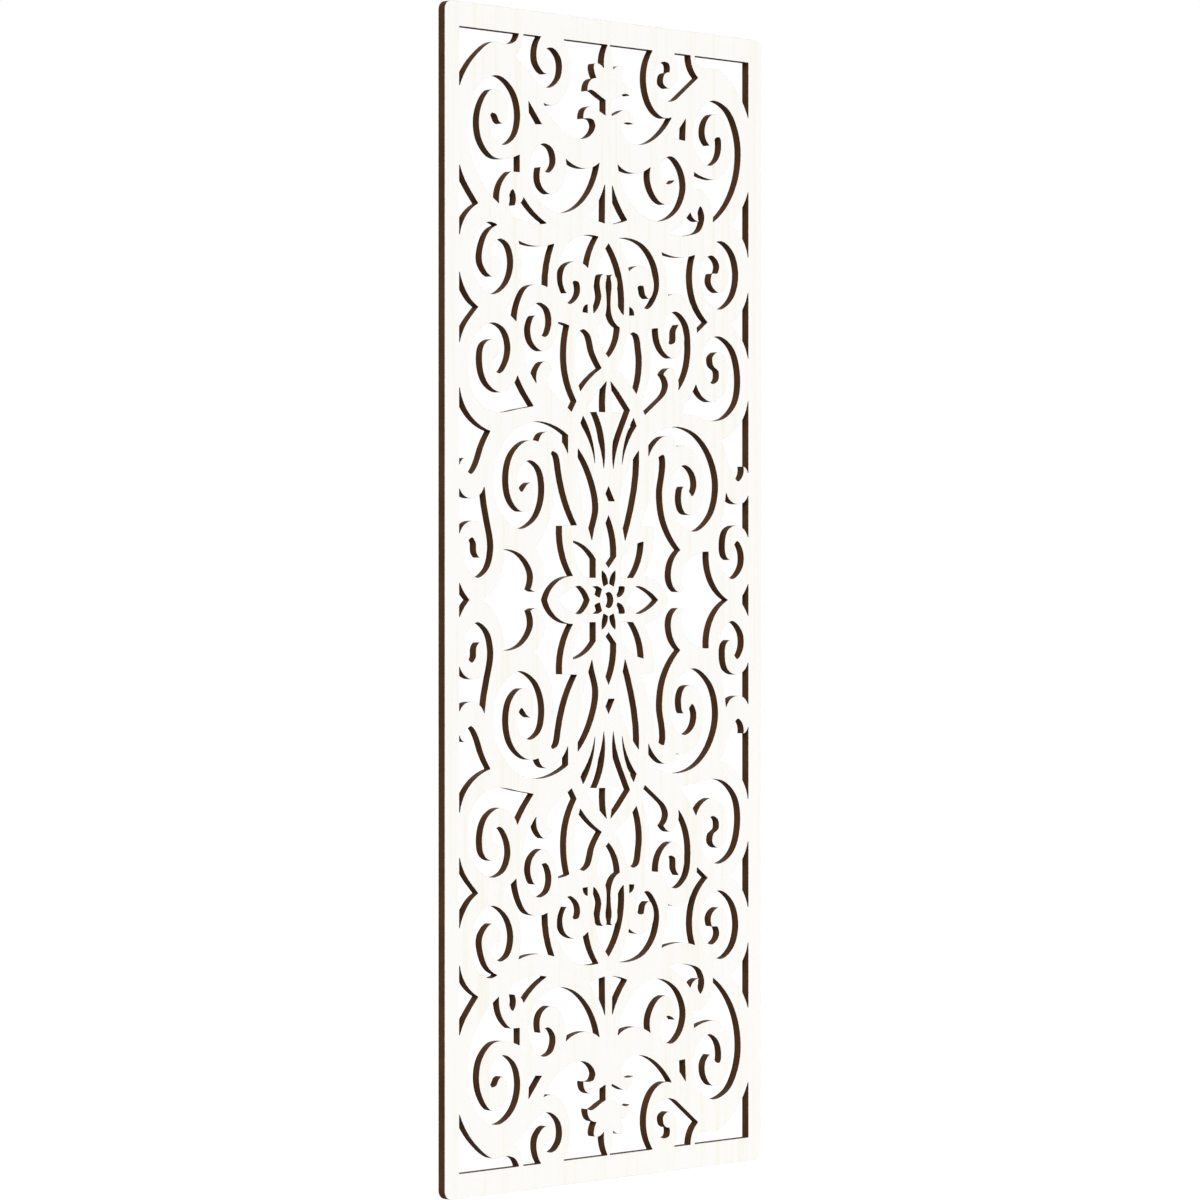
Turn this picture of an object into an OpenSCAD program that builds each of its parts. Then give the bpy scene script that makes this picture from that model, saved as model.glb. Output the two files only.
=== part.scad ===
// Fretwork wall panel: a white-faced board with a dark brown core, cut right through
// with a mirrored pattern of scrolls, leaves and a rosette, hung on four keyhole plates.
// X is the width, Z is up, and the back lies on the wall in the plane y = 0.

/* [Panel] */
// Overall width of the panel
panel_w = 800; // [700:10:900]
// Overall height of the panel
panel_h = 2070; // [1800:10:2300]
// Radius of the four outer corners
corner_r = 16; // [6:1:30]
// Thickness of the brown core board
core_t = 14.4; // [12:0.2:20]
// Thickness of each white face sheet
face_t = 0.8; // [0.5:0.1:1.2]

/* [Fretwork] */
// Width of the upright border on each side
stile_w = 34; // [32:1:50]
// Height of the border at the top and at the bottom
rail_h = 42.5; // [36:0.5:60]
// Width of the fretwork bars
bar_w = 23; // [21:0.5:26]
// Radius that the cutter leaves in the corners of the windows
cut_r = 1; // [0.2:0.1:2]

/* [Hangers] */
// Height of the entry holes from the top edge, and from the bottom edge
hanger_inset = 185; // [150:5:250]
// Length of a keyhole plate
plate_l = 50; // [46:1:60]
// Width of a keyhole plate
plate_w = 18; // [16:1:22]
// Thickness of a keyhole plate
plate_t = 2; // [1.5:0.1:3]
// Diameter of the hole that the head of the wall screw enters
entry_d = 9; // [8:0.5:10]
// Width of the slot that holds the wall screw
slot_w = 4.5; // [4:0.1:5.5]
// Travel from the entry hole to the top of the slot
slot_rise = 10; // [8:0.5:12]
// Depth of the hollow behind the plate, for the head of the wall screw
relief_depth = 6; // [4:0.5:8]
// Gap round the plate and round the screw head in the hollow
pocket_gap = 0.2; // [0.1:0.05:0.5]

/* [Hanger screws] */
// Diameter of the screw shanks
screw_d = 3; // [2.5:0.1:3.5]
// Diameter of the countersunk heads
screw_head_d = 6; // [5:0.1:7]
// Length of the screws with their heads
screw_l = 12; // [8:0.5:13]
// Distance of each screw from the end of its plate
screw_inset = 6; // [5:0.5:7]

/* [Hidden] */
$fn = 48;

opening = [panel_w - 2 * stile_w, panel_h - 2 * rail_h];

// Entry holes of the hangers, in the middle of the stiles, measured from the panel's middle
hanger_x = panel_w / 2 - stile_w / 2;
hanger_z = panel_h / 2 - hanger_inset;

// The pattern is drawn for an opening of this width and height, with bars of this width
drawn_w = 732;
drawn_h = 1985;
drawn_bar_w = 24;
fit = [opening.x / drawn_w, opening.y / drawn_h];

// What each window loses all round, and the drawn lines that this brings to the border
trim = (bar_w - drawn_bar_w) / 2;
side = drawn_w / 2 + trim / fit.x;
top = drawn_h / 2 + trim / fit.y;

// Corner radius of the drawn windows, which the trim brings to cut_r. Windows that the trim
// widens by more than cut_r have sharp corners.
drawn_r = max(cut_r + trim, 0);

// Width and height of the rosette's eye
eye_w = 23;
eye_h = 28;

// Cross recess in a screw head, and how far each cut reaches past the face it starts from
recess_l = 0.55 * screw_head_d;
recess_w = 0.9;
recess_depth = 1.2;
cut_past = 1;

// Largest gap between a curve and the short edges that it is drawn with
curve_gap = 0.7;

// A window's outline is a list of runs. Each run is a smooth stretch that starts where the
// last one ended and ends in a corner, so a run of one node is a straight edge.
function last(list) = list[len(list) - 1];
function sum(list) = list * [for (value = list) 1];
function outline(runs) =
    let(
        stretches = [
            for (i = [0 : len(runs) - 1])
                stretch(concat([last(runs[i == 0 ? len(runs) - 1 : i - 1])], runs[i]))
        ],
        points = [for (s = stretches) for (i = [0 : len(s) - 1]) [s[i], i == 0]],
        n = len(points),
        next = [for (i = [1 : n]) points[i % n][0]],
        way = sign(sum([for (i = [0 : n - 1]) cross(points[i][0], next[i])]))
    ) [
        for (i = [0 : n - 1])
            each !points[i][1] ? [points[i][0]]
                : rounded(points[(i + n - 1) % n][0], points[i][0], next[i], way)
    ];

// A corner of a window, whose outline runs anticlockwise where way is 1 and clockwise where it
// is -1. The tips of the bars stay sharp, and so does a corner that meets its own mirror image.
// The cutter rounds the others: a blunt one is a single short edge, and a sharper one has a
// point in the middle of its arc too.
function rounded(before, corner, after, way) =
    drawn_r == 0 || corner.x == 0 || corner.y == 0
        || way * cross(corner - before, after - corner) < 0 ? [corner]
    : let(
        a = (before - corner) / norm(before - corner),
        b = (after - corner) / norm(after - corner),
        half = turn(a, b) / 2,
        room = 0.45 * min(norm(before - corner), norm(after - corner)),
        reach = min(drawn_r / tan(half), room),
        middle = (a + b) / norm(a + b) * reach * (1 / cos(half) - tan(half))
    )
        half > 50 ? [corner + a * reach, corner + b * reach]
        : [corner + a * reach, corner + middle, corner + b * reach];

// Points of one smooth stretch, up to but without its last node
function stretch(nodes) = let(n = len(nodes) - 1) [
    for (i = [0 : n - 1])
        let(
            chord = nodes[i + 1] - nodes[i],
            ahead = chord / norm(chord),
            slope_a = i > 0 ? slope(nodes, i) : undef,
            slope_b = i < n - 1 ? slope(nodes, i + 1) : undef,
            leave = i > 0 ? slope_a : i < n - 1 ? 2 * ahead - slope_b : ahead,
            arrive = i < n - 1 ? slope_b : i > 0 ? 2 * ahead - slope_a : ahead,
            bow = norm(chord) * (turn(leave, ahead) + turn(ahead, arrive)) * PI / 180 / 8,
            steps = max(1, ceil(sqrt(bow / curve_gap)))
        )
            for (k = [0 : steps - 1])
                bend(nodes[i], nodes[i + 1], leave, arrive, k / steps)
];

// Direction of a stretch at an inner node, with the nearer neighbour counting more
function slope(nodes, i) =
    let(back = nodes[i] - nodes[i - 1], fore = nodes[i + 1] - nodes[i])
        (back * norm(fore) / norm(back) + fore * norm(back) / norm(fore)) / (norm(back) + norm(fore));

// Angle between two directions
function turn(a, b) = abs(atan2(cross(a, b), a * b));

// Point at share s of the curve from a to b, with its directions at both ends
function bend(a, b, leave, arrive, s) =
    let(l = norm(b - a))
        a * (1 + 2 * s) * (1 - s) ^ 2 + leave * l * s * (1 - s) ^ 2
            + b * (3 - 2 * s) * s ^ 2 + arrive * l * (s - 1) * s ^ 2;

// A window with its mirror images. Where it lies across a middle line of the panel, its runs
// draw the half on this side of the line, and the last run is the edge on the line.
module window(runs) {
    part = outline(runs);
    flip = part[0].x == 0 ? [-1, 1] : part[0].y == 0 ? [1, -1] : undef;
    whole = flip == undef ? part
        : concat(part, [for (i = [len(part) - 2 : -1 : 1]) along(part[i], flip)]);
    for (x = flip == [-1, 1] ? [1] : [-1, 1], y = flip == [1, -1] ? [1] : [-1, 1])
        fitted([for (point = whole) along(point, [x, y])]);
}

// A drawn outline, fitted to the opening, which it never passes, and trimmed for the bars
module fitted(points)
    offset(delta = -trim)
        intersection() {
            polygon([for (point = points) along(point, fit)]);
            square(opening + 2 * [trim, trim], center = true);
        }

// A point with its width and height multiplied
function along(point, factors) = [point.x * factors.x, point.y * factors.y];

// The windows follow, as drawn in the upper right quarter, in mm from the panel's middle

// Crown: the arch beside the top finial, the scroll beside it and the corner
module crown_windows() {
    window([
        [[8, 982], [12, 950]],
        [[24, 957], [36, 956], [35, 938], [31, 931]],
        [[47, 925], [54, 905]],
        [[44, 908], [22, 899], [8, 893]],
        [[8, 866]],
        [[22, 872], [42, 880], [59, 873], [64, 855]],
        [[50, 857], [39, 855], [34, 845], [40, 833], [54, 823], [80, 820], [106, 827],
            [137, 847], [162, 875]],
        [[140, 873], [116, 886], [98, 918], [96, 955], [112, top]],
        [[3, top]]
    ]);
    window([
        [[178, 975], [178, 946], [154, 927], [140, 935], [143, 952], [156, 957]],
        [[155, 971], [140, 974], [120, 957], [121, 925], [149, 904], [175, 910]],
        [[231, 953]],
        [[216, 971], [211, top]],
        [[169, top]]
    ]);
    window([
        [[231, 979], [250, 972], [281, 974], [326, 946], [side, 889]],
        [[side, top]],
        [[223, top]]
    ]);
    window([[[199, 876]], [[197, 836]], [[167, 838]]]);
}

// Shoulder: the two large scrolls under the crown and the small cuts round them
module shoulder_windows() {
    window([
        [[271, 835], [278, 846], [288, 848], [292, 830], [283, 807], [262, 795], [232, 811],
            [220, 850], [233, 890], [270, 914], [312, 901], [340, 855], [340, 785],
            [311, 727], [271, 692]],
        [[266, 724], [242, 750]],
        [[221, 750]],
        [[221, 780]],
        [[245, 772], [285, 772], [312, 798], [319, 838], [308, 870], [290, 889], [268, 889],
            [251, 870], [250, 845], [262, 831]]
    ]);
    window([
        [[105, 759], [115, 735], [131, 720], [147, 716], [167, 728], [170, 763]],
        [[151, 754], [134, 771], [141, 797], [162, 804], [187, 786], [198, 752], [181, 711],
            [126, 685], [82, 696], [43, 732], [23, 780]],
        [[42, 770], [64, 767], [87, 771], [107, 781]]
    ]);
    window([[[25, 711], [47, 682]], [[27, 676], [10, 673]], [[9, 743]]]);
    window([
        [[180, 678], [211, 706]],
        [[218, 696], [234, 690]],
        [[232, 711], [237, 718], [247, 703], [238, 676], [205, 664], [155, 664]]
    ]);
    window([
        [[351, 725], [336, 706], [321, 689]],
        [[338, 678], [352, 663], [side, 630]],
        [[side, 754]]
    ]);
}

// Waist: the arch over the finger pair and diamond, and the scrolls beside it
module waist_windows() {
    window([
        [[13, 621], [31, 585], [39, 540], [38, 511]],
        [[26, 523], [19, 542], [23, 563], [20, 577], [12, 583], [5, 579], [7, 566], [5, 543],
            [6, 514], [13, 499], [28, 488]],
        [[22, 463], [0, 434]],
        [[0, 637]]
    ]);
    window([
        [[54, 649], [90, 639], [121, 606], [127, 558], [97, 525], [73, 546], [76, 564],
            [88, 565], [93, 550], [104, 543], [115, 558], [110, 589], [82, 602], [52, 591]],
        [[46, 613], [26, 648]]
    ]);
    window([[[62, 521], [65, 512]], [[53, 511]], [[53, 526]]]);
    window([
        [[157, 624], [184, 622], [223, 629]],
        [[215, 592], [224, 546], [256, 508]],
        [[229, 488]],
        [[222, 520], [201, 550], [174, 556], [153, 552]],
        [[149, 592], [136, 629]]
    ]);
    window([
        [[292, 658], [324, 640], [338, 600], [324, 555], [287, 533], [249, 555], [237, 594],
            [248, 622], [269, 630], [287, 612], [282, 599], [269, 598], [265, 580],
            [287, 563], [311, 585], [307, 622], [295, 642], [275, 654]]
    ]);
    window([
        [[350, 535], [336, 519], [321, 509]],
        [[337, 493], [352, 475], [side, 444]],
        [[side, 569]]
    ]);
    window([
        [[127, 477], [139, 452], [164, 438], [190, 454], [195, 480], [182, 501], [172, 488],
            [170, 468], [158, 464], [144, 486], [150, 513], [173, 523], [201, 505],
            [211, 460], [203, 416], [180, 381]],
        [[178, 404], [159, 421], [140, 408]],
        [[152, 388], [146, 374], [128, 359], [93, 334]],
        [[81, 353]],
        [[103, 400], [107, 440], [99, 486]],
        [[110, 489], [126, 491]]
    ]);
    window([
        [[75, 476], [81, 457], [84, 420], [71, 371]],
        [[48, 394], [18, 414]],
        [[38, 444], [48, 472], [62, 481]]
    ]);
    window([
        [[206, 363], [226, 393]],
        [[239, 374], [266, 362], [297, 376], [312, 413], [305, 446], [284, 455], [269, 444],
            [272, 428], [285, 419], [284, 403], [270, 396], [250, 416], [244, 446],
            [257, 473], [284, 483], [322, 466], [343, 412], [334, 362], [302, 334],
            [266, 328], [225, 335], [187, 341]]
    ]);
}

// Middle: the scrolls and leaves round the rosette
module middle_windows() {
    window([
        [[352, 335], [330, 312], [292, 294]],
        [[310, 264], [325, 231], [338, 219], [351, 231], [352, 247]],
        [[360, 243], [side, 233]],
        [[side, 370]]
    ]);
    window([
        [[315, 184], [336, 176], [354, 180], [side, 193]],
        [[side, 115]],
        [[358, 127], [334, 138], [310, 128], [302, 100], [306, 80], [317, 73], [326, 84],
            [327, 99], [335, 108], [349, 94], [351, 64], [322, 39], [297, 54], [285, 93],
            [294, 137], [301, 166], [306, 197]]
    ]);
    window([
        [[137, 308], [177, 314], [224, 303], [265, 266], [284, 211], [268, 155], [220, 125],
            [179, 145], [161, 193], [172, 233], [197, 245], [220, 231], [226, 206],
            [216, 190], [204, 202], [194, 207], [186, 185], [197, 158], [217, 155],
            [238, 171], [249, 210], [236, 256], [197, 281], [175, 279]],
        [[166, 293], [144, 297], [119, 282], [102, 259]],
        [[102, 292]]
    ]);
    window([
        [[146, 16], [125, 34], [90, 43]],
        [[108, 74], [116, 103], [117, 132]],
        [[80, 133]],
        [[96, 159], [110, 191], [121, 233], [129, 258], [141, 262], [145, 245], [137, 200],
            [142, 153], [156, 123], [184, 91]],
        [[164, 67], [163, 29], [180, 14], [195, 19]],
        [[189, 44], [203, 68], [259, 88]],
        [[264, 50], [283, 19], [310, 0]],
        [[154, 0]]
    ]);
    window([
        [[32, 298], [19, 266], [12, 235]],
        [[14, 297], [32, 336]],
        [[9, 336]],
        [[9, 365], [5, 391]],
        [[26, 372], [54, 341]]
    ]);
    window([[[52, 288], [34, 243]], [[44, 292], [64, 327]], [[71, 313]]]);
    window([
        [[76, 226], [64, 168], [42, 106]],
        [[37, 126], [27, 157], [43, 222], [77, 269]]
    ]);
    window([[[15, 177]], [[0, 177]], [[0, 203]]]);
    window([[[17, 107], [19, 78]], [[0, 58]], [[0, 151]]]);
    window([[[85, 80], [62, 40]], [[33, 40]], [[33, 73]], [[54, 92], [89, 105]]]);
    window([[[58, 15], [70, 24], [98, 18], [126, 0]], [[48, 0]]]);
    window([[[352, 10], [side, 30]], [[side, 0]], [[342, 0]]]);
}

// Rosette: two of its eight petals and its eye
module rosette_windows() {
    window([[[17, 40], [12.5, 24.5]], [[2, 29]], [[6, 43], [17, 52.5]]]);
    window([[[28, 24], [17, 19]], [[22.5, 5]], [[37, 12], [41, 23]]]);
    fitted([for (a = [0 : 20 : 340]) [eye_w / 2 * cos(a), eye_h / 2 * sin(a)]]);
}

module windows() {
    crown_windows();
    shoulder_windows();
    waist_windows();
    middle_windows();
    rosette_windows();
}

module board_outline() {
    square([panel_w - 2 * corner_r, panel_h], center = true);
    square([panel_w, panel_h - 2 * corner_r], center = true);
    for (x = [-1, 1], y = [-1, 1])
        translate([x * (panel_w / 2 - corner_r), y * (panel_h / 2 - corner_r)]) circle(corner_r);
}

// Flat shape, drawn in the wall's plane, given its thickness from y = back - thick to y = back
module upright(back, thick)
    translate([0, back, 0]) rotate([90, 0, 0]) linear_extrude(thick) children();

module fret_sheet(back, thick)
    upright(back, thick)
        difference() {
            board_outline();
            windows();
        }

// Flat shape with round ends, centred on the entry hole and the slot above it
module pill(length, width)
    translate([0, slot_rise / 2]) {
        square([width, length - width], center = true);
        for (end = [-1, 1]) translate([0, end * (length - width) / 2]) circle(width / 2);
    }

// Places its children at the entry hole of one hanger: x is -1 or 1 for left or right as seen
// from the front, z is -1 or 1 for bottom or top
module at_hanger(x, z) translate([x * hanger_x, 0, z * hanger_z]) children();
module at_hangers() for (x = [-1, 1], z = [-1, 1]) at_hanger(x, z) children();

// Places its children at both screws of a plate
module at_plate_screws()
    for (end = [-1, 1])
        translate([0, 0, slot_rise / 2 + end * (plate_l / 2 - screw_inset)]) children();

// Pocket for a plate, cut in from the back
module plate_pocket()
    upright(cut_past, plate_t + cut_past) pill(plate_l + 2 * pocket_gap, plate_w + 2 * pocket_gap);

// Hollow behind the keyhole, in which the head of the wall screw travels
module head_hollow()
    upright(0, relief_depth)
        pill(slot_rise + entry_d + 2 * pocket_gap, entry_d + 2 * pocket_gap);

// Countersunk wood screw with its head flush at y = 0
module screw_solid() {
    head_t = (screw_head_d - screw_d) / 2;
    tip = screw_d;
    rotate([90, 0, 0])
        rotate_extrude()
            polygon([
                [0, 0], [screw_head_d / 2, 0], [screw_d / 2, head_t],
                [screw_d / 2, screw_l - tip], [0, screw_l]
            ]);
}

module screw()
    difference() {
        screw_solid();
        upright(cut_past, recess_depth + cut_past) {
            square([recess_l, recess_w], center = true);
            square([recess_w, recess_l], center = true);
        }
    }

module hanger(x, z)
    color("silver")
        at_hanger(x, z)
            difference() {
                upright(0, plate_t)
                    difference() {
                        pill(plate_l, plate_w);
                        circle(entry_d / 2);
                        translate([-slot_w / 2, 0]) square([slot_w, slot_rise]);
                        translate([0, slot_rise]) circle(slot_w / 2);
                    }
                at_plate_screws() screw_solid();
            }

module fret_core()
    color("saddlebrown")
        difference() {
            fret_sheet(-face_t, core_t);
            at_hangers() {
                plate_pocket();
                head_hollow();
                at_plate_screws() screw_solid();
            }
        }

module front_face() color("white") fret_sheet(-face_t - core_t, face_t);

module back_face()
    color("white")
        difference() {
            fret_sheet(0, face_t);
            at_hangers() plate_pocket();
        }

module hanger_screws() color("dimgray") at_hangers() at_plate_screws() screw();

fret_core();
front_face();
back_face();
hanger(-1, 1);  // hanger_top_left
hanger(1, 1);  // hanger_top_right
hanger(-1, -1);  // hanger_bottom_left
hanger(1, -1);  // hanger_bottom_right
hanger_screws();
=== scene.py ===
import math

import bmesh
import bpy
from mathutils import Matrix, Vector
from mathutils.geometry import delaunay_2d_cdt, interpolate_bezier


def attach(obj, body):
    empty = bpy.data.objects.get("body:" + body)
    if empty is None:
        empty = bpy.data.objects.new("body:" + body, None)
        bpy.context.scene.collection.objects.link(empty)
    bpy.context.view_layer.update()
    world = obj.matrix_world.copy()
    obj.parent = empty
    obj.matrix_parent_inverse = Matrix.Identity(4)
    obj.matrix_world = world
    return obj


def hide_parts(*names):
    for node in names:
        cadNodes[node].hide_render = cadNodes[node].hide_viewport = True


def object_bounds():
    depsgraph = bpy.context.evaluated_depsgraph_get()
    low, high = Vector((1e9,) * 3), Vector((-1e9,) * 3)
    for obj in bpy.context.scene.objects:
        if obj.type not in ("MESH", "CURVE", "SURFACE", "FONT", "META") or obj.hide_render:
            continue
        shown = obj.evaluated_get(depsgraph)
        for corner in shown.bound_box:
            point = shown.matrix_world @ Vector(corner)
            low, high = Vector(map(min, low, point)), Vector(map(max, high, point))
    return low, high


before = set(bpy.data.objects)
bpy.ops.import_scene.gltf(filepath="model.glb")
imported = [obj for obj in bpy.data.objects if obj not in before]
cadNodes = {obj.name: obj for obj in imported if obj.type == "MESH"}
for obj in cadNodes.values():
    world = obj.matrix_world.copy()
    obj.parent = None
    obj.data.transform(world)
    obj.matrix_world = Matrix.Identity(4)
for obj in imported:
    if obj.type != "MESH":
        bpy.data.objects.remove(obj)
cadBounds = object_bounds()
print("frame loaded:", ", ".join(sorted(cadNodes)))


# Colours are written as sRGB hex values
def linearColor(hexText):
    channels = [int(hexText[i:i + 2], 16) / 255 for i in (1, 3, 5)]
    return [c / 12.92 if c <= 0.04045 else ((c + 0.055) / 1.055) ** 2.4 for c in channels] + [1]


# Adds one shader node. An input is given a value, or the output of another node to link it
# to, and anything else is a setting of the node.
def addNode(tree, kind, inputs=None, **settings):
    made = tree.nodes.new(kind)
    for name, value in settings.items():
        setattr(made, name, value)
    for name, value in (inputs or {}).items():
        if isinstance(value, bpy.types.NodeSocket):
            tree.links.new(value, made.inputs[name])
        else:
            made.inputs[name].default_value = value
    return made


# A Mix node's inputs and output when it mixes colours, which share their names with others
colorMix = {"share": 0, "first": 6, "second": 7, "result": 2}


def newMaterial(name):
    material = bpy.data.materials.new(name)
    material.use_nodes = True
    material.node_tree.nodes.clear()
    return material, material.node_tree


# A cloudy pattern on object coordinates, with marks of this real size along X, Y and Z
def grainPattern(tree, size, detail, roughness):
    place = addNode(tree, "ShaderNodeTexCoord")
    scaled = addNode(tree, "ShaderNodeMapping",
                     {"Vector": place.outputs["Object"], "Scale": [1 / length for length in size]})
    clouds = addNode(tree, "ShaderNodeTexNoise",
                     {"Vector": scaled.outputs["Vector"], "Scale": 1.0, "Detail": detail,
                      "Roughness": roughness})
    return clouds.outputs["Fac"]


# Ends a material in its shader, with values of the shader's own, a colour, a gloss and a relief
def finishMaterial(tree, ownValues, color, gloss, relief, bump):
    raised = addNode(tree, "ShaderNodeBump", {"Height": relief, **bump})
    shader = addNode(tree, "ShaderNodeBsdfPrincipled",
                     {"Base Color": color, "Roughness": gloss, "Normal": raised.outputs["Normal"],
                      **ownValues})
    addNode(tree, "ShaderNodeOutputMaterial", {"Surface": shader.outputs["BSDF"]})


# White wood-grain melamine laminate, pressed with a fine suede texture: a matt white
# with faint cream grain that runs up the panel. The suede is drawn coarser than it is, to show.
laminate = {
    "white": "#FDFCFA",
    "cream": "#FAF7EC",
    "streaks": {"size": (0.011, 0.011, 0.55), "detail": 3.0, "roughness": 0.6},
    "streaksShown": {"From Min": 0.5, "From Max": 0.72},
    "pores": {"size": (0.0016, 0.0016, 0.045), "detail": 2.0, "roughness": 0.5},
    "poresShown": {"From Min": 0.56, "From Max": 0.74},
    "poreTint": 0.35,
    "poreHeight": -0.5,
    "suede": {"size": (0.0009, 0.0009, 0.0009), "detail": 2.0, "roughness": 0.6},
    "gloss": {"From Min": 0.3, "From Max": 0.7, "To Min": 0.41, "To Max": 0.51},
    "bump": {"Strength": 0.12, "Distance": 0.0002},
    "shader": {"IOR": 1.5},
}


def laminateMaterial(name):
    material, tree = newMaterial(name)
    streakGrain = grainPattern(tree, **laminate["streaks"])
    streaks = addNode(tree, "ShaderNodeMapRange", {"Value": streakGrain, **laminate["streaksShown"]})
    poreGrain = grainPattern(tree, **laminate["pores"])
    pores = addNode(tree, "ShaderNodeMapRange", {"Value": poreGrain, **laminate["poresShown"]})
    tint = addNode(tree, "ShaderNodeMath",
                   {0: pores.outputs["Result"], 1: laminate["poreTint"], 2: streaks.outputs["Result"]},
                   operation="MULTIPLY_ADD", use_clamp=True)
    color = addNode(tree, "ShaderNodeMix",
                    {colorMix["share"]: tint.outputs["Value"],
                     colorMix["first"]: linearColor(laminate["white"]),
                     colorMix["second"]: linearColor(laminate["cream"])}, data_type="RGBA")
    suede = grainPattern(tree, **laminate["suede"])
    relief = addNode(tree, "ShaderNodeMath",
                     {0: pores.outputs["Result"], 1: laminate["poreHeight"], 2: suede},
                     operation="MULTIPLY_ADD")
    gloss = addNode(tree, "ShaderNodeMapRange", {"Value": suede, **laminate["gloss"]})
    finishMaterial(tree, laminate["shader"], color.outputs[colorMix["result"]],
                   gloss.outputs["Result"], relief.outputs["Value"], laminate["bump"])
    return material


# Through-dyed brown fibreboard, cut through and left bare: a dark, warm brown with hardly
# any shine, fine fibres, soft clouds of colour and faint marks across the cut. The fibres
# are drawn coarser than they are, to show.
fibreboard = {
    "brown": "#402918",
    "pale": "#4A301D",
    "dark": "#2D1C12",
    "clouds": {"size": (0.03, 0.03, 0.03), "detail": 2.0, "roughness": 0.5},
    "cloudsShown": {"From Min": 0.35, "From Max": 0.65},
    "fibres": {"size": (0.0012, 0.0006, 0.0012), "detail": 4.0, "roughness": 0.65},
    "fibresShown": {"From Min": 0.52, "From Max": 0.75, "To Max": 0.75},
    "cutMarks": {"size": (0.0022, 1 / 12, 0.0022), "detail": 2.0, "roughness": 0.5},
    "fibreHeight": 0.6,
    "gloss": {"From Min": 0.3, "From Max": 0.7, "To Min": 0.69, "To Max": 0.83},
    "bump": {"Strength": 0.35, "Distance": 0.0004},
    "shader": {"IOR": 1.48, "Specular IOR Level": 0.05},
}


def fibreboardMaterial(name):
    material, tree = newMaterial(name)
    fibres = grainPattern(tree, **fibreboard["fibres"])
    cloudGrain = grainPattern(tree, **fibreboard["clouds"])
    cutMarks = grainPattern(tree, **fibreboard["cutMarks"])
    clouds = addNode(tree, "ShaderNodeMapRange", {"Value": cloudGrain, **fibreboard["cloudsShown"]})
    ground = addNode(tree, "ShaderNodeMix",
                     {colorMix["share"]: clouds.outputs["Result"],
                      colorMix["first"]: linearColor(fibreboard["brown"]),
                      colorMix["second"]: linearColor(fibreboard["pale"])}, data_type="RGBA")
    flecks = addNode(tree, "ShaderNodeMapRange", {"Value": fibres, **fibreboard["fibresShown"]})
    color = addNode(tree, "ShaderNodeMix",
                    {colorMix["share"]: flecks.outputs["Result"],
                     colorMix["first"]: ground.outputs[colorMix["result"]],
                     colorMix["second"]: linearColor(fibreboard["dark"])}, data_type="RGBA")
    relief = addNode(tree, "ShaderNodeMath", {0: fibres, 1: fibreboard["fibreHeight"], 2: cutMarks},
                     operation="MULTIPLY_ADD")
    gloss = addNode(tree, "ShaderNodeMapRange", {"Value": fibres, **fibreboard["gloss"]})
    finishMaterial(tree, fibreboard["shader"], color.outputs[colorMix["result"]],
                   gloss.outputs["Result"], relief.outputs["Value"], fibreboard["bump"])
    return material


# Zinc-plated pressed steel: a soft grey metal with cloudy crystals and rolling lines, both
# drawn coarser than they are, to show
zinc = {
    "plateLight": "#C9CCCF",
    "plateDark": "#A4A8AC",
    "screwLight": "#B9BBBD",
    "screwDark": "#8F9396",
    "crystals": {"size": (0.004, 0.004, 0.004), "detail": 3.0, "roughness": 0.6},
    "crystalsShown": {"From Min": 0.35, "From Max": 0.65},
    "rollLines": {"size": (0.0004, 0.0004, 0.025), "detail": 2.0, "roughness": 0.5},
    "gloss": {"From Min": 0.3, "From Max": 0.7, "To Min": 0.3, "To Max": 0.44},
    "bump": {"Strength": 0.1, "Distance": 0.0001},
    "shader": {"Metallic": 1.0},
}


def zincMaterial(name, light, dark):
    material, tree = newMaterial(name)
    crystals = grainPattern(tree, **zinc["crystals"])
    rollLines = grainPattern(tree, **zinc["rollLines"])
    share = addNode(tree, "ShaderNodeMapRange", {"Value": crystals, **zinc["crystalsShown"]})
    color = addNode(tree, "ShaderNodeMix",
                    {colorMix["share"]: share.outputs["Result"],
                     colorMix["first"]: linearColor(light),
                     colorMix["second"]: linearColor(dark)}, data_type="RGBA")
    gloss = addNode(tree, "ShaderNodeMapRange", {"Value": crystals, **zinc["gloss"]})
    finishMaterial(tree, zinc["shader"], color.outputs[colorMix["result"]],
                   gloss.outputs["Result"], rollLines, zinc["bump"])
    return material


whiteLaminate = laminateMaterial("white wood-grain laminate")
brownFibreboard = fibreboardMaterial("brown fibreboard, cut and bare")
plateSteel = zincMaterial("zinc-plated steel plate", zinc["plateLight"], zinc["plateDark"])
screwSteel = zincMaterial("zinc-plated screw steel", zinc["screwLight"], zinc["screwDark"])
print("materials made")

# How the frame's meshes are read
reading = {
    "outlineGap": 1e-5,  # points that are closer are one where outlines are read
    "pieceGap": 1e-6,  # and where a whole piece is kept
    "depthDigits": 5,
    "squareOn": 0.999,  # a flat face points this squarely to the front or the back
}


def addObject(name, data):
    made = bpy.data.objects.new(name, data)
    bpy.context.scene.collection.objects.link(made)
    return made


def addShape(name, bm):
    mesh = bpy.data.meshes.new(name)
    bm.to_mesh(mesh)
    bm.free()
    return addObject(name, mesh)


# A node's mesh with its loose triangles merged
def mergedMesh(node, gap):
    bm = bmesh.new()
    bm.from_mesh(node.data)
    bmesh.ops.remove_doubles(bm, verts=bm.verts, dist=gap)
    return bm


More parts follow.
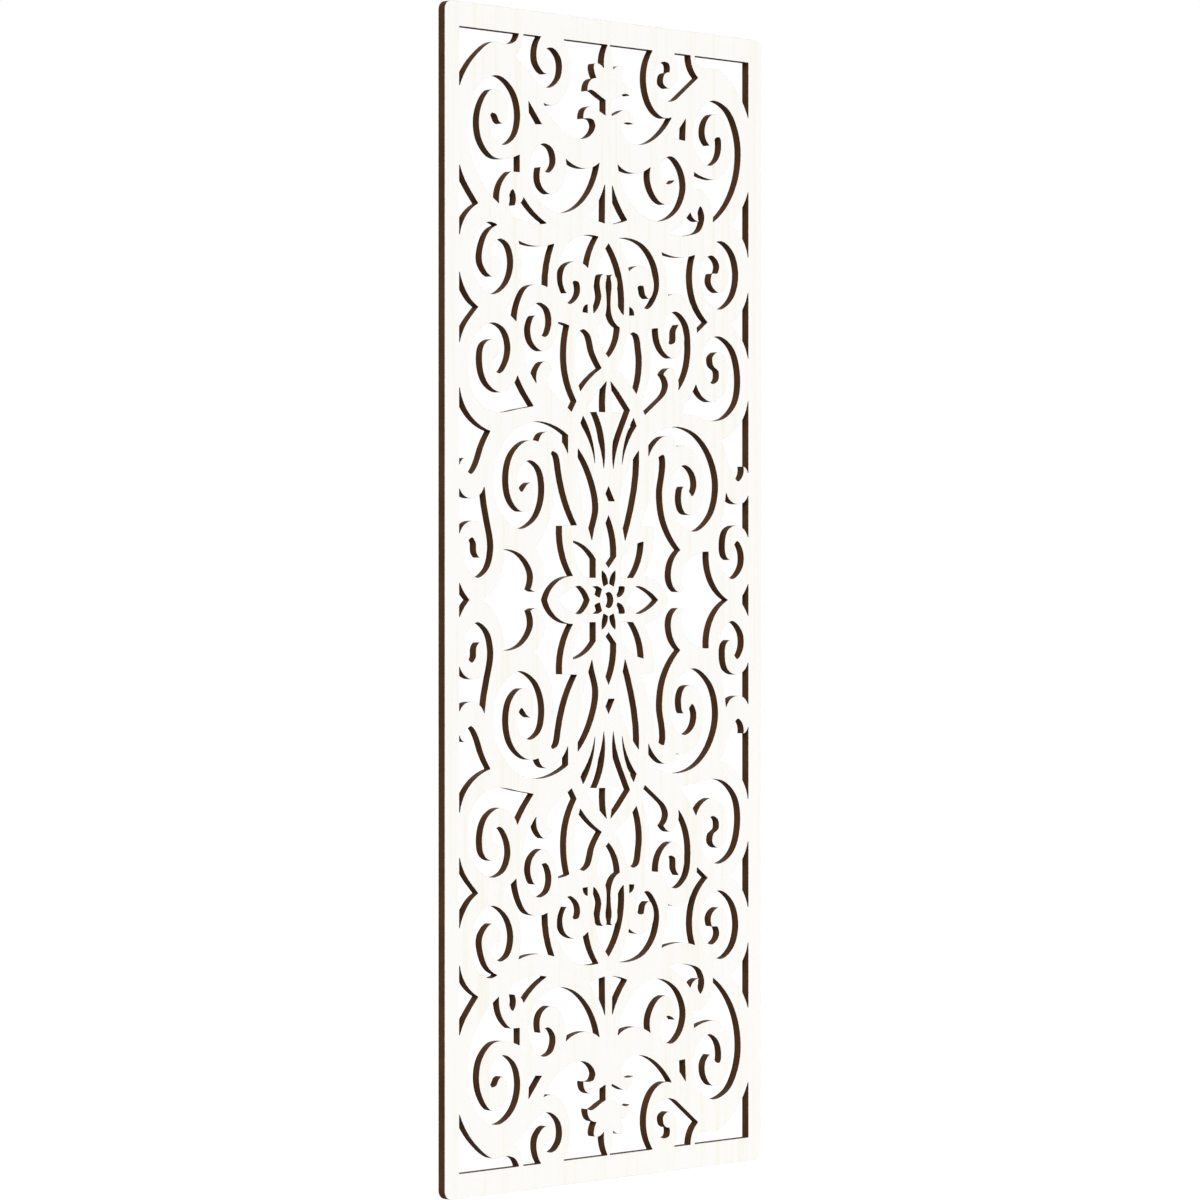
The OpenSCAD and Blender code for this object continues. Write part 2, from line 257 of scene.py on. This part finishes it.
# Closed outlines of a node's face in the plane at this depth, as lists of points in X and Z
def faceOutlines(node, depth):
    gap = reading["outlineGap"]
    bm = mergedMesh(node, gap)
    away = [f for f in bm.faces if max(abs(v.co.y - depth) for v in f.verts) > gap]
    bmesh.ops.delete(bm, geom=away, context="FACES")
    waiting = {e for e in bm.edges if e.is_boundary}
    outlines = []
    for edge in bm.edges:
        if edge not in waiting:
            continue
        waiting.discard(edge)
        first, here = edge.verts
        outline = [first.co.xz]
        while here != first:
            outline.append(here.co.xz)
            onward = next(e for e in here.link_edges if e in waiting)
            waiting.discard(onward)
            here = onward.other_vert(here)
        outlines.append(outline)
    bm.free()
    return outlines


# The depths, from front to back, at which a node has flat faces
def faceDepths(node):
    return sorted({round(p.center.y, reading["depthDigits"]) for p in node.data.polygons
                   if abs(p.normal.y) > reading["squareOn"]})


# How an outline is made smooth. Its edges stand for true curves, and the short ones for
# arcs: the panel's outer corners, the windows' corners and the ends of the wells.
curves = {
    "shortEdge": 0.0025,
    "cornerGap": 0.00116,  # a point whose curve would stand this far off the edges is a corner
    "turnPerStep": math.radians(7),
    "endNear": 0.0052,  # the sides of a narrow end would meet this far on or farther
    "endFar": 0.015,  # but no farther than this
    "straightTurn": math.radians(0.2),  # a side that turns by less is straight
    "parallel": 1e-3,  # sides that close in by less count as parallel
    "endSteps": 16,
}


def edgesOf(points):
    return [points[(i + 1) % len(points)] - here for i, here in enumerate(points)]


def shortEdges(points):
    return [edge.length < curves["shortEdge"] for edge in edgesOf(points)]


# Direction at the middle one of three points, where the nearer neighbour counts more
def throughDirection(before, here, after):
    back, fore = here - before, after - here
    return (back * fore.length / back.length + fore * back.length / fore.length).normalized()


# Leaving and arriving directions at each point of an outline
def directions(points):
    count = len(points)
    chords = edgesOf(points)
    short = shortEdges(points)
    smooth = [throughDirection(points[i - 1], points[i], points[(i + 1) % count])
              for i in range(count)]
    sharp = []
    for i in range(count):
        turn = abs(chords[i - 1].angle_signed(chords[i]))
        shorter = min(chords[i - 1].length, chords[i].length)
        sharp.append(shorter * turn / 8 >= curves["cornerGap"])  # an arc's height is length * turn / 8

    # At the end of a curve, the direction that its last edge's far end mirrors into
    def endDirection(edge, farEnd):
        ahead = chords[edge].normalized()
        if sharp[farEnd] or short[farEnd] != short[farEnd - 1]:
            return ahead
        return (2 * ahead - smooth[farEnd]).normalized()

    leaving, arriving = [], []
    for i in range(count):
        nextEdge, lastEdge = i, (i - 1) % count
        onward = endDirection(nextEdge, (i + 1) % count)
        inward = endDirection(lastEdge, lastEdge)
        if sharp[i]:
            leaving.append(onward)
            arriving.append(inward)
        elif short[nextEdge] != short[lastEdge]:
            along = onward if short[lastEdge] else inward
            leaving.append(along)
            arriving.append(along)
        else:
            leaving.append(smooth[i])
            arriving.append(smooth[i])
    return leaving, arriving


# Where the sides of each narrow, curved end of a window would meet, by the point at which
# the end starts. The frame closes such an end with two short edges, which stop it too soon.
def narrowEnds(points, leaving, arriving):
    count = len(points)
    chords = edgesOf(points)
    short = shortEdges(points)
    ends = {}
    for i, start in enumerate(points):
        j = (i + 2) % count
        if short[i - 1] or not short[i] or not short[(i + 1) % count] or short[j]:
            continue
        ahead, back = leaving[i], -arriving[j]
        sideTurns = (chords[i - 1].angle_signed(ahead), chords[j].angle_signed(arriving[j]))
        closing = ahead.cross(back)
        if min(abs(turn) for turn in sideTurns) < curves["straightTurn"]:
            continue
        if abs(closing) < curves["parallel"]:
            continue
        across = points[j] - start
        reaches = (across.cross(back) / closing, across.cross(ahead) / closing)
        if min(reaches) > curves["endNear"] and max(reaches) < curves["endFar"]:
            ends[i] = start + ahead * reaches[0]
    return ends


# An outline with enough points to look round
def smoothOutline(points):
    count = len(points)
    leaving, arriving = directions(points)
    ends = narrowEnds(points, leaving, arriving)
    finer = []
    for i, start in enumerate(points):
        if (i - 1) % count in ends:  # the middle of a narrow end
            continue
        if i in ends:
            stop = points[(i + 2) % count]
            handles = [p.lerp(ends[i], 2 / 3) for p in (start, stop)]  # an arc of a parabola
            steps = curves["endSteps"]
        else:
            j = (i + 1) % count
            stop = points[j]
            chord = stop - start
            third = chord.length / 3
            handles = [start + leaving[i] * third, stop - arriving[j] * third]
            turning = abs(leaving[i].angle_signed(chord)) + abs(chord.angle_signed(arriving[j]))
            steps = max(1, math.ceil(turning / curves["turnPerStep"]))
        span = interpolate_bezier(start, *handles, stop, steps + 1)
        finer.extend(p.xy for p in span[:-1])
    return finer


# Outlines of a node's face at this depth, made smooth
def smoothFace(node, depth):
    return [smoothOutline(o) for o in faceOutlines(node, depth)]


# Outlines that lie inside no other one
def outerOutlines(outlines):
    boxes = [[pick(p[axis] for p in o) for pick in (min, max) for axis in (0, 1)] for o in outlines]
    return [o for o, (left, low, right, high) in zip(outlines, boxes)
            if not any(b[0] < left and b[1] < low and b[2] > right and b[3] > high for b in boxes)]


# Outlines turned so that the board lies on their left, as seen from the front
def turned(outlines):
    outer = outerOutlines(outlines)
    areas = [sum(o[i - 1].cross(o[i]) for i in range(len(o))) for o in outlines]
    return [o if (area > 0) == (o in outer) else o[::-1] for o, area in zip(outlines, areas)]


# How sheets are cut and shaded
cutting = {
    "cornerShare": 0.4,  # keeps an eased edge close to a sharp corner
    "fillKind": 2,  # triangles inside the outlines and none in the holes
    "fillGap": 1e-9,
    "sharpEdge": math.radians(32),  # walls that turn by less look round
}


# An outline moved into the board, by less at the sharpest corners
def inset(outline, distance):
    moved = []
    for i, here in enumerate(outline):
        back = (here - outline[i - 1]).normalized()
        fore = (outline[(i + 1) % len(outline)] - here).normalized()
        along = (back + fore).normalized()
        share = max(along.dot(fore), cutting["cornerShare"])
        moved.append(here + along.orthogonal() * distance / share)
    return moved


# A sheet cut to these outlines, from depth front to depth back, with its edges eased by arris
def cutSheet(name, outlines, front, back, arris=0.0):
    levels = [(front, 0.0), (back, 0.0)]
    if arris:
        levels = [(front, arris), (front + arris, 0.0), (back - arris, 0.0), (back, arris)]
    outlines = turned(outlines)
    bm = bmesh.new()
    rims = [[bm.verts.new((p.x, depth, p.y)) for o in outlines for p in inset(o, eased)]
            for depth, eased in levels]
    places = iter(range(len(rims[0])))
    borders = [[next(places) for point in outline] for outline in outlines]
    for near, far in zip(rims, rims[1:]):
        for border in borders:
            for i, j in zip(border, border[1:] + border[:1]):
                bm.faces.new((near[i], far[i], far[j], near[j]))
    filled = delaunay_2d_cdt([p for o in outlines for p in o], [], borders,
                             cutting["fillKind"], cutting["fillGap"])
    triangles, sources = filled[2], filled[3]
    for triangle in triangles:
        corners = [sources[i][0] for i in triangle]
        bm.faces.new([rims[0][i] for i in corners])
        bm.faces.new([rims[-1][i] for i in reversed(corners)])
    bmesh.ops.recalc_face_normals(bm, faces=bm.faces)
    return addShape(name, bm)


# Cuts away from piece what cutter fills, and removes the cutter
def cutAway(piece, cutter):
    modifier = piece.modifiers.new("cut", "BOOLEAN")
    modifier.operation = "DIFFERENCE"
    modifier.solver = "MANIFOLD"
    modifier.object = cutter
    mesh = bpy.data.meshes.new_from_object(
        piece.evaluated_get(bpy.context.evaluated_depsgraph_get()))
    piece.modifiers.clear()
    piece.data = mesh
    bpy.data.objects.remove(cutter)


# Puts a new piece in the place of a node, with its materials and with smooth walls
def placePiece(piece, node, materials):
    piece.data.materials.clear()
    for material in materials:
        piece.data.materials.append(material)
    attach(piece, "root")
    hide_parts(node)
    piece.data.polygons.foreach_set("use_smooth", [True] * len(piece.data.polygons))
    piece.data.set_sharp_from_angle(angle=cutting["sharpEdge"])
    print(piece.name, "made:", len(piece.data.polygons), "faces")


# The laminate sheets. Only their decor side is white: their cut edges and eased arrises are
# as brown as the core.
faceSheets = {
    "arris": 0.00012,
    "squareOut": 0.9,  # a white face points this squarely outwards
}


def addFaceSheet(name, node, decorSide):
    front, back = faceDepths(cadNodes[node])
    outlines = smoothFace(cadNodes[node], front if decorSide < 0 else back)
    sheet = cutSheet(name, outlines, front, back, faceSheets["arris"])
    placePiece(sheet, node, [whiteLaminate, brownFibreboard])
    for face in sheet.data.polygons:
        face.material_index = 0 if face.normal.y * decorSide > faceSheets["squareOut"] else 1


addFaceSheet("frontLaminate", "front_face", -1)
addFaceSheet("backLaminate", "back_face", 1)

# The core board is cut from the back as well: pockets for the hanger plates, hollows behind
# their keyholes, and the screws' holes
coreBoard = {"cutPast": 0.001}  # how far the wells' cutters stand out of the back


def addCoreBoard(name, node):
    front, *wellFloors, back = faceDepths(cadNodes[node])
    board = cutSheet(name, smoothFace(cadNodes[node], front), front, back)
    for wellFloor in wellFloors:
        rims = [smoothOutline(o) for o in outerOutlines(faceOutlines(cadNodes[node], wellFloor))]
        cutAway(board, cutSheet("wellCutter", rims, wellFloor, back + coreBoard["cutPast"]))
        print("wells", round(-1000 * wellFloor, 2), "mm deep:", len(rims))
    screws = mergedMesh(cadNodes["hanger_screws"], reading["pieceGap"])
    cutAway(board, addShape("screwCutter", screws))
    placePiece(board, node, [brownFibreboard])


addCoreBoard("coreBoard", "fret_core")

# The keyhole plates and their screws keep the frame's shape, with their edges eased. The
# plates' flat faces are made whole first, so that the bevel leaves no creases in them.
hangers = {
    "easedEdge": 0.00015,
    "easedSteps": 2,
    "edgeTurn": math.radians(35),
    "flatWithin": math.radians(0.5),
}


def finishHanger(node, material, isPlate):
    node.data.materials.clear()
    node.data.materials.append(material)
    weld = node.modifiers.new("weld", "WELD")
    weld.merge_threshold = reading["pieceGap"]
    if isPlate:
        flat = node.modifiers.new("flatFaces", "DECIMATE")
        flat.decimate_type = "DISSOLVE"
        flat.angle_limit = hangers["flatWithin"]
    ease = node.modifiers.new("easedEdges", "BEVEL")
    ease.width = hangers["easedEdge"]
    ease.segments = hangers["easedSteps"]
    ease.limit_method = "ANGLE"
    ease.angle_limit = hangers["edgeTurn"]
    ease.loop_slide = False


for name in ("hanger_top_left", "hanger_top_right", "hanger_bottom_left", "hanger_bottom_right"):
    finishHanger(cadNodes[name], plateSteel, True)
finishHanger(cadNodes["hanger_screws"], screwSteel, False)
print("hangers finished")

# The camera stands to the left at mid-height and sees the front at 45 degrees
view = {
    "place": (-5.5399, -5.5342, 0.0),
    "turn": (math.radians(90), 0, math.radians(-45)),
    "lens": 131.22,
    "sensor": 36,
    "reach": 100,
}


def addCamera():
    camera = addObject("camera", bpy.data.cameras.new("camera"))
    camera.data.lens = view["lens"]
    camera.data.sensor_width = view["sensor"]
    camera.data.clip_end = view["reach"]
    camera.location = view["place"]
    camera.rotation_euler = view["turn"]
    bpy.context.scene.camera = camera


addCamera()

# A white studio: soft light from the left, a fill from behind and a pale floor, which
# looks white to the camera and keeps the shadow
studio = {
    "floorDrop": 0.35,
    "floorSize": 60,
    "floorColor": "#C4C4C2",
    "floorGlow": 0.5,
    "keyFrom": (-0.61, -0.485, 0.50),
    "keyPower": 2.8,
    "fillFrom": (0.45, 0.75, 0.35),
    "fillPower": 1.45,
    "lampAngle": math.radians(30),
    "worldLight": 0.45,
    "white": (1, 1, 1, 1),
}


# A strength for what the camera sees directly, in a reflection or through glass, and
# another for the light that falls on the panel
def seenStrength(tree, unseen, seen):
    rays = addNode(tree, "ShaderNodeLightPath").outputs
    direct = addNode(tree, "ShaderNodeMath",
                     {0: rays["Is Camera Ray"], 1: rays["Is Glossy Ray"]}, operation="MAXIMUM")
    either = addNode(tree, "ShaderNodeMath",
                     {0: direct.outputs["Value"], 1: rays["Is Transmission Ray"]},
                     operation="MAXIMUM")
    strength = addNode(tree, "ShaderNodeMapRange",
                       {"Value": either.outputs["Value"], "To Min": unseen, "To Max": seen})
    return strength.outputs["Result"]


def addFloor():
    bm = bmesh.new()
    under = Matrix.Translation((0, 0, cadBounds[0].z - studio["floorDrop"]))
    bmesh.ops.create_grid(bm, x_segments=1, y_segments=1, size=studio["floorSize"] / 2, matrix=under)
    floor = addShape("floor", bm)
    material, tree = newMaterial("matt studio floor")
    matt = addNode(tree, "ShaderNodeBsdfDiffuse", {"Color": linearColor(studio["floorColor"])})
    glow = addNode(tree, "ShaderNodeEmission",
                   {"Color": studio["white"], "Strength": seenStrength(tree, 0.0, studio["floorGlow"])})
    both = addNode(tree, "ShaderNodeAddShader", {0: matt.outputs["BSDF"], 1: glow.outputs["Emission"]})
    addNode(tree, "ShaderNodeOutputMaterial", {"Surface": both.outputs["Shader"]})
    floor.data.materials.append(material)


def addLamp(name, comesFrom, power):
    lamp = addObject(name, bpy.data.lights.new(name, "SUN"))
    lamp.data.angle = studio["lampAngle"]
    lamp.data.energy = power
    lamp.rotation_euler = Vector(comesFrom).to_track_quat("Z", "Y").to_euler()


def lightWorld():
    world = bpy.data.worlds.new("studio")
    bpy.context.scene.world = world
    world.use_nodes = True
    tree = world.node_tree
    tree.nodes.clear()
    sky = addNode(tree, "ShaderNodeBackground",
                  {"Color": studio["white"], "Strength": seenStrength(tree, studio["worldLight"], 1.0)})
    addNode(tree, "ShaderNodeOutputWorld", {"Surface": sky.outputs["Background"]})


addFloor()
addLamp("keyLight", studio["keyFrom"], studio["keyPower"])
addLamp("fillLight", studio["fillFrom"], studio["fillPower"])
lightWorld()
bpy.context.scene.view_settings.view_transform = "Standard"
print("camera, floor and lights made")
